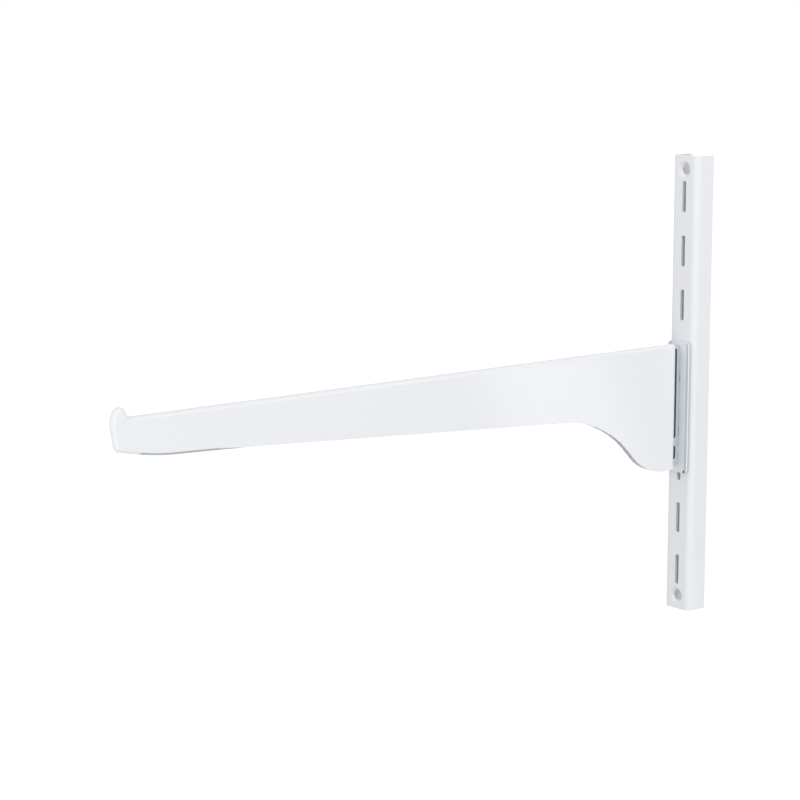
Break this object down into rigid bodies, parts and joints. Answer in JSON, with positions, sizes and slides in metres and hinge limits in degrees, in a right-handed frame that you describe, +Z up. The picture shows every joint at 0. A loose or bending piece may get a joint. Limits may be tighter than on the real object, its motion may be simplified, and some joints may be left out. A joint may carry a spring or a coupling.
{
  "type": "slotted shelf bracket",
  "caption": "White steel shelf bracket: a tapering folded arm with a nub at its front end and a swept heel, hooked by a flat blade into a slotted wall upright.",
  "frame": {"origin": "on the flat along the arm's folded top edge, where the shelf rests, 150 mm in front of the upright's front face", "axes": "+X towards the wall, so the arm points to -X; +Z up, square to the shelf seat; Y across the arm, whose plane of symmetry is Y = 0"},
  "size_m": [0.3251, 0.016, 0.2159],
  "materials": {
    "white_enamel": "glossy white baked enamel on sheet steel, with a faint orange peel"
  },
  "bodies": {
    "root": {"arm": "white_enamel", "back_plate": "white_enamel", "hook_blade": "white_enamel", "upright": "white_enamel"}
  },
  "joints": []
}
